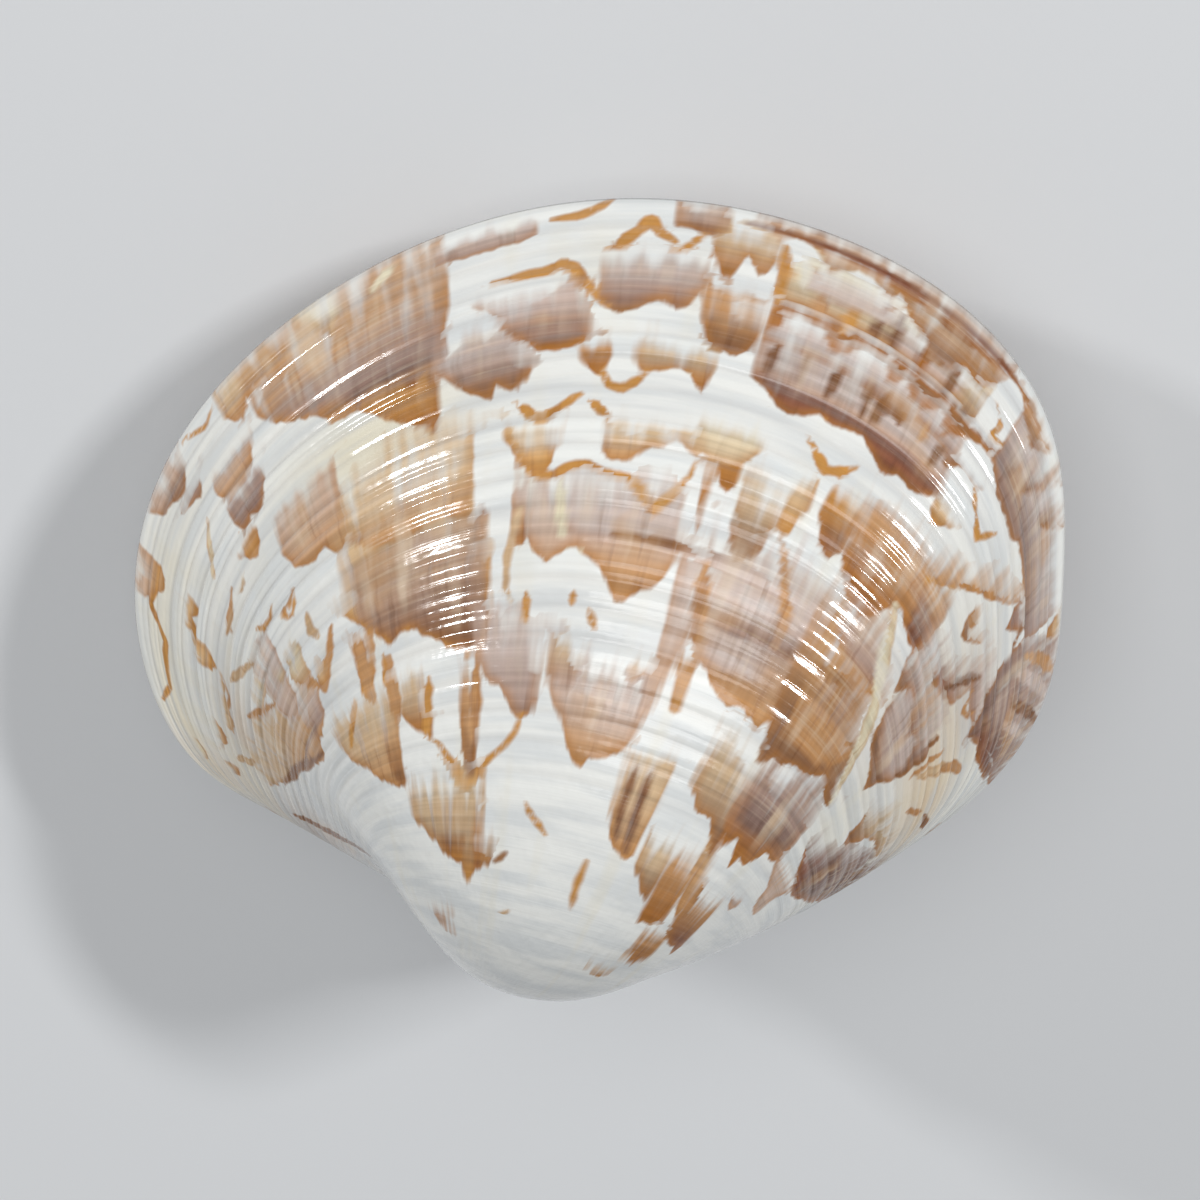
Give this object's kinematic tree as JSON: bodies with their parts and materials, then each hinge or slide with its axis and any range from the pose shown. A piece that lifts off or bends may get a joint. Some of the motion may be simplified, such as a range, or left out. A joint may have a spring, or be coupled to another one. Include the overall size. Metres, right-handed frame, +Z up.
{
  "type": "closed venus clam shell",
  "caption": "Closed pair of oval clam valves with low concentric ribs and full forward beaks, joined by a short ligament, lying on one valve's small flat spot.",
  "frame": {"origin": "centre of the object's box, on the surface it lies on", "axes": "+X towards the shell's hind end, along its length; +Y towards its free margin; +Z up, out of the right valve"},
  "size_m": [0.0358, 0.0312, 0.0208],
  "materials": {
    "glossy_shell": "glossy porcelain-like shell, bluish white with tan, mauve and ochre tented blotches",
    "dry_ligament": "dry dark brown fibrous ligament"
  },
  "bodies": {
    "root": {"right_valve": "glossy_shell", "left_valve": "glossy_shell", "ligament": "dry_ligament"}
  },
  "joints": []
}
